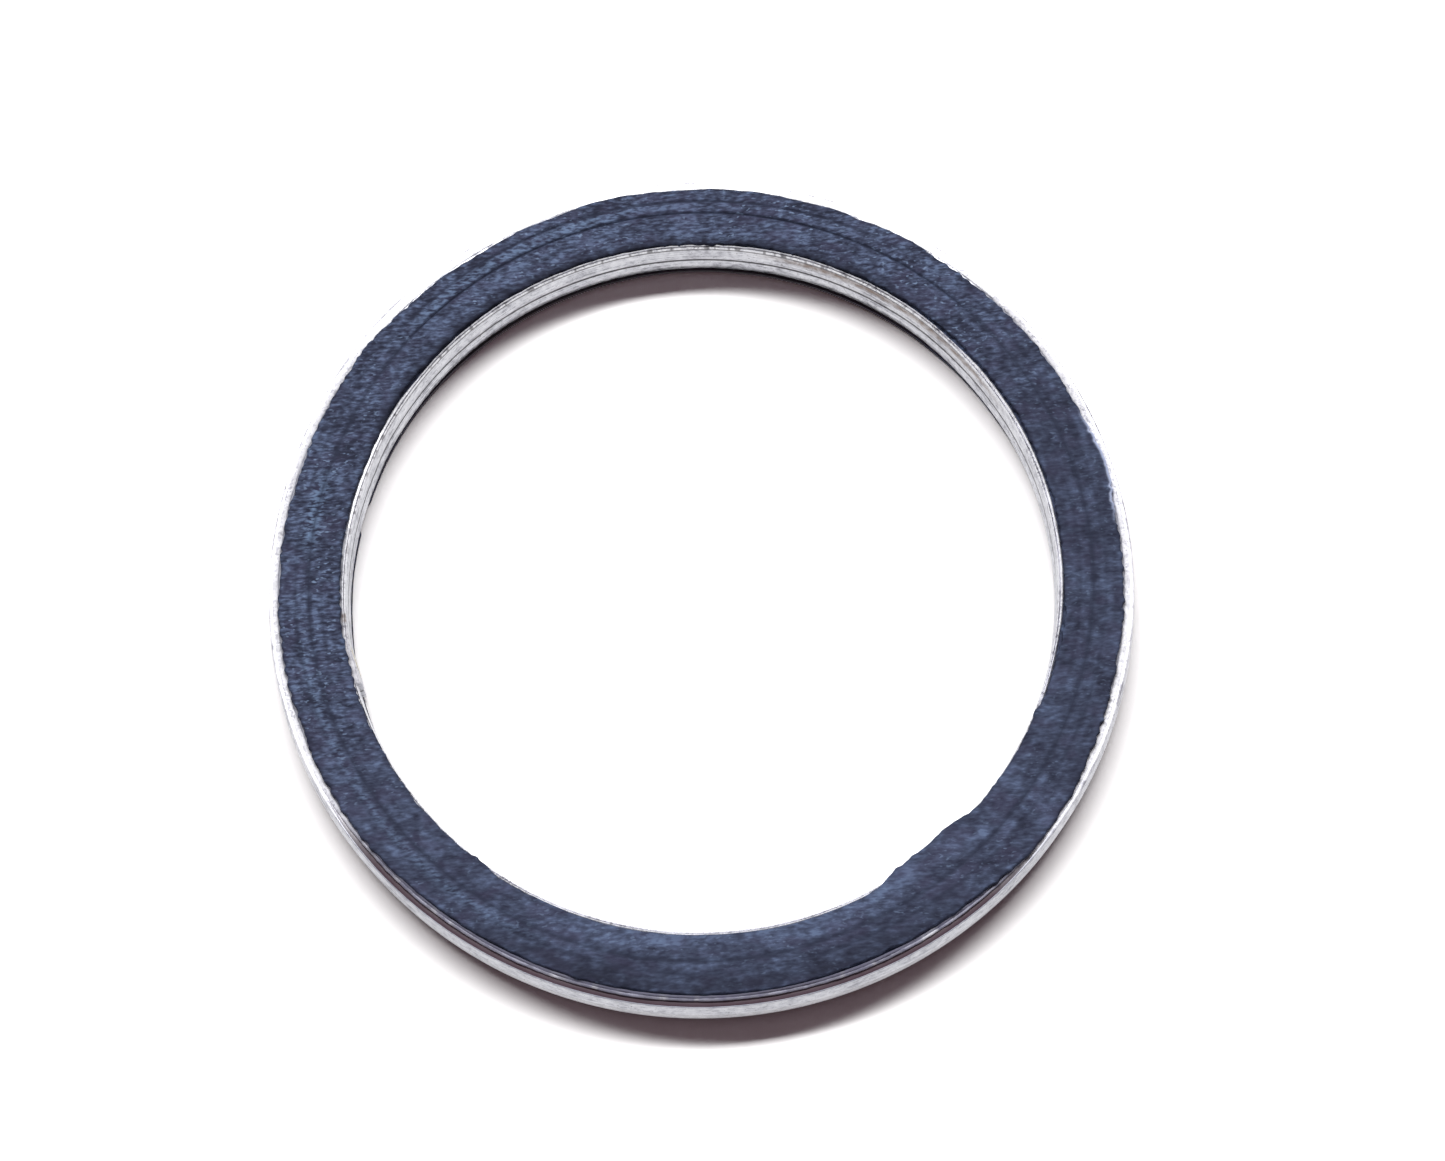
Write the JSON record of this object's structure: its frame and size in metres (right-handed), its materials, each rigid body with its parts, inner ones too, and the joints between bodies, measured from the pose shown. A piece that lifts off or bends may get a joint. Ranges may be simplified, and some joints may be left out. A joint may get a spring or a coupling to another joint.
{
  "type": "exhaust gasket",
  "caption": "Ring gasket for an exhaust port: a dark graphite filler wound between a metal bore band and a ridged metal outer band.",
  "frame": {"origin": "on the ring's axis, at the face that it rests on", "axes": "+Z along the ring's axis, out of the top face; +Y away from the viewer of the picture, +X to the right"},
  "size_m": [0.0464, 0.0464, 0.0034],
  "materials": {
    "bore_strip": "satin rolled strip with a bright ragged edge",
    "outer_strip": "satin rolled strip, brighter on its ridge",
    "graphite_filler": "matt slate-blue graphite compound with fine pale flecks and dark seams"
  },
  "bodies": {
    "root": {"bore_band": "bore_strip", "outer_band": "outer_strip", "filler": "graphite_filler"}
  },
  "joints": []
}
